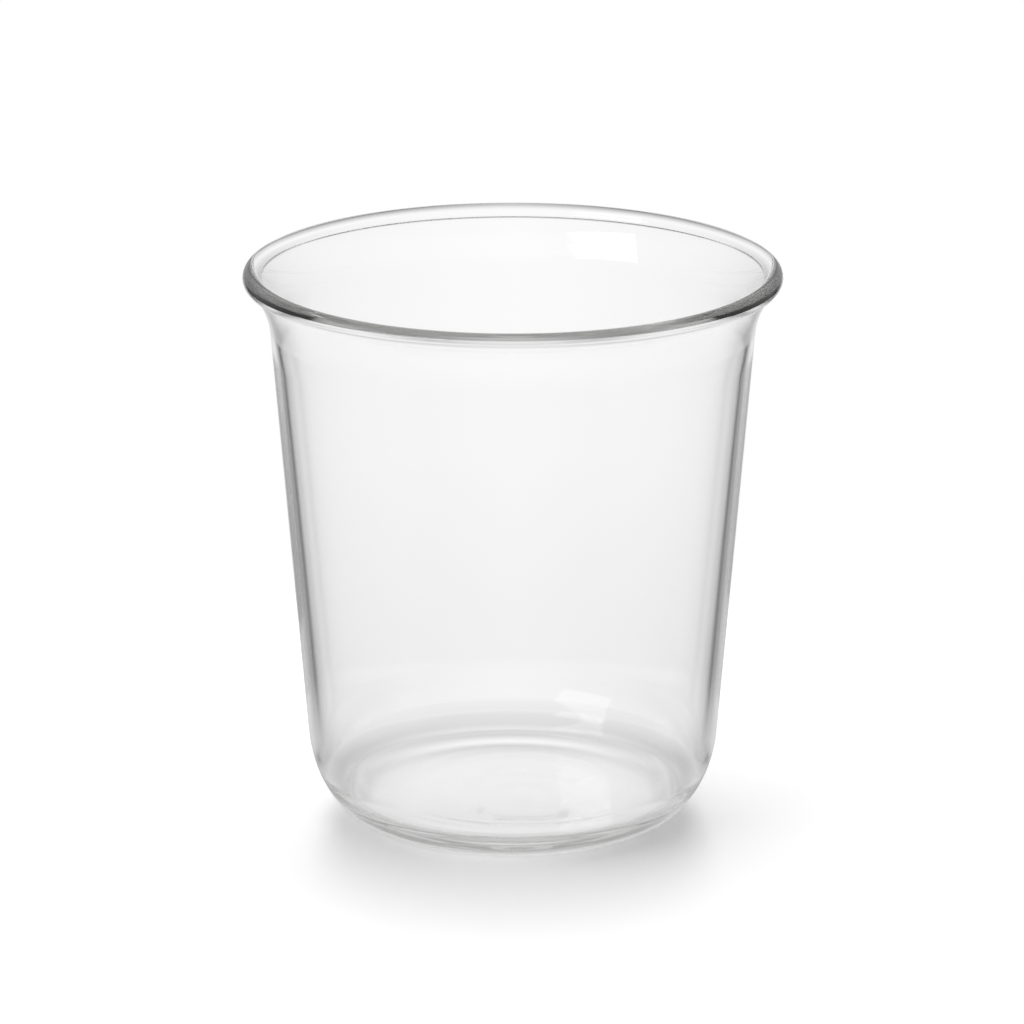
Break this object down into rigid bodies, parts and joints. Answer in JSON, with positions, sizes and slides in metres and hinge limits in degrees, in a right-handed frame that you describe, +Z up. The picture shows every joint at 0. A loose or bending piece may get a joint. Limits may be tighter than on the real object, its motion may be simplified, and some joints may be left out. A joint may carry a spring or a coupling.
{
  "type": "drinking glass",
  "caption": "Low drinking glass in clear glass, with a tapered wall, a flared rim ending in a round fire-polished bead, a rounded heel and a base pushed up within its foot.",
  "frame": {"origin": "middle of the plane that the glass stands on, within its contact ring", "axes": "+Z up along the axis of revolution, from the foot to the mouth; X and Y are alike, because the glass is round"},
  "size_m": [0.082, 0.082, 0.0865],
  "materials": {
    "clear_glass": "fire-polished"
  },
  "bodies": {
    "root": {"base": "clear_glass", "heel": "clear_glass", "wall": "clear_glass", "flare": "clear_glass", "lip": "clear_glass"}
  },
  "joints": []
}
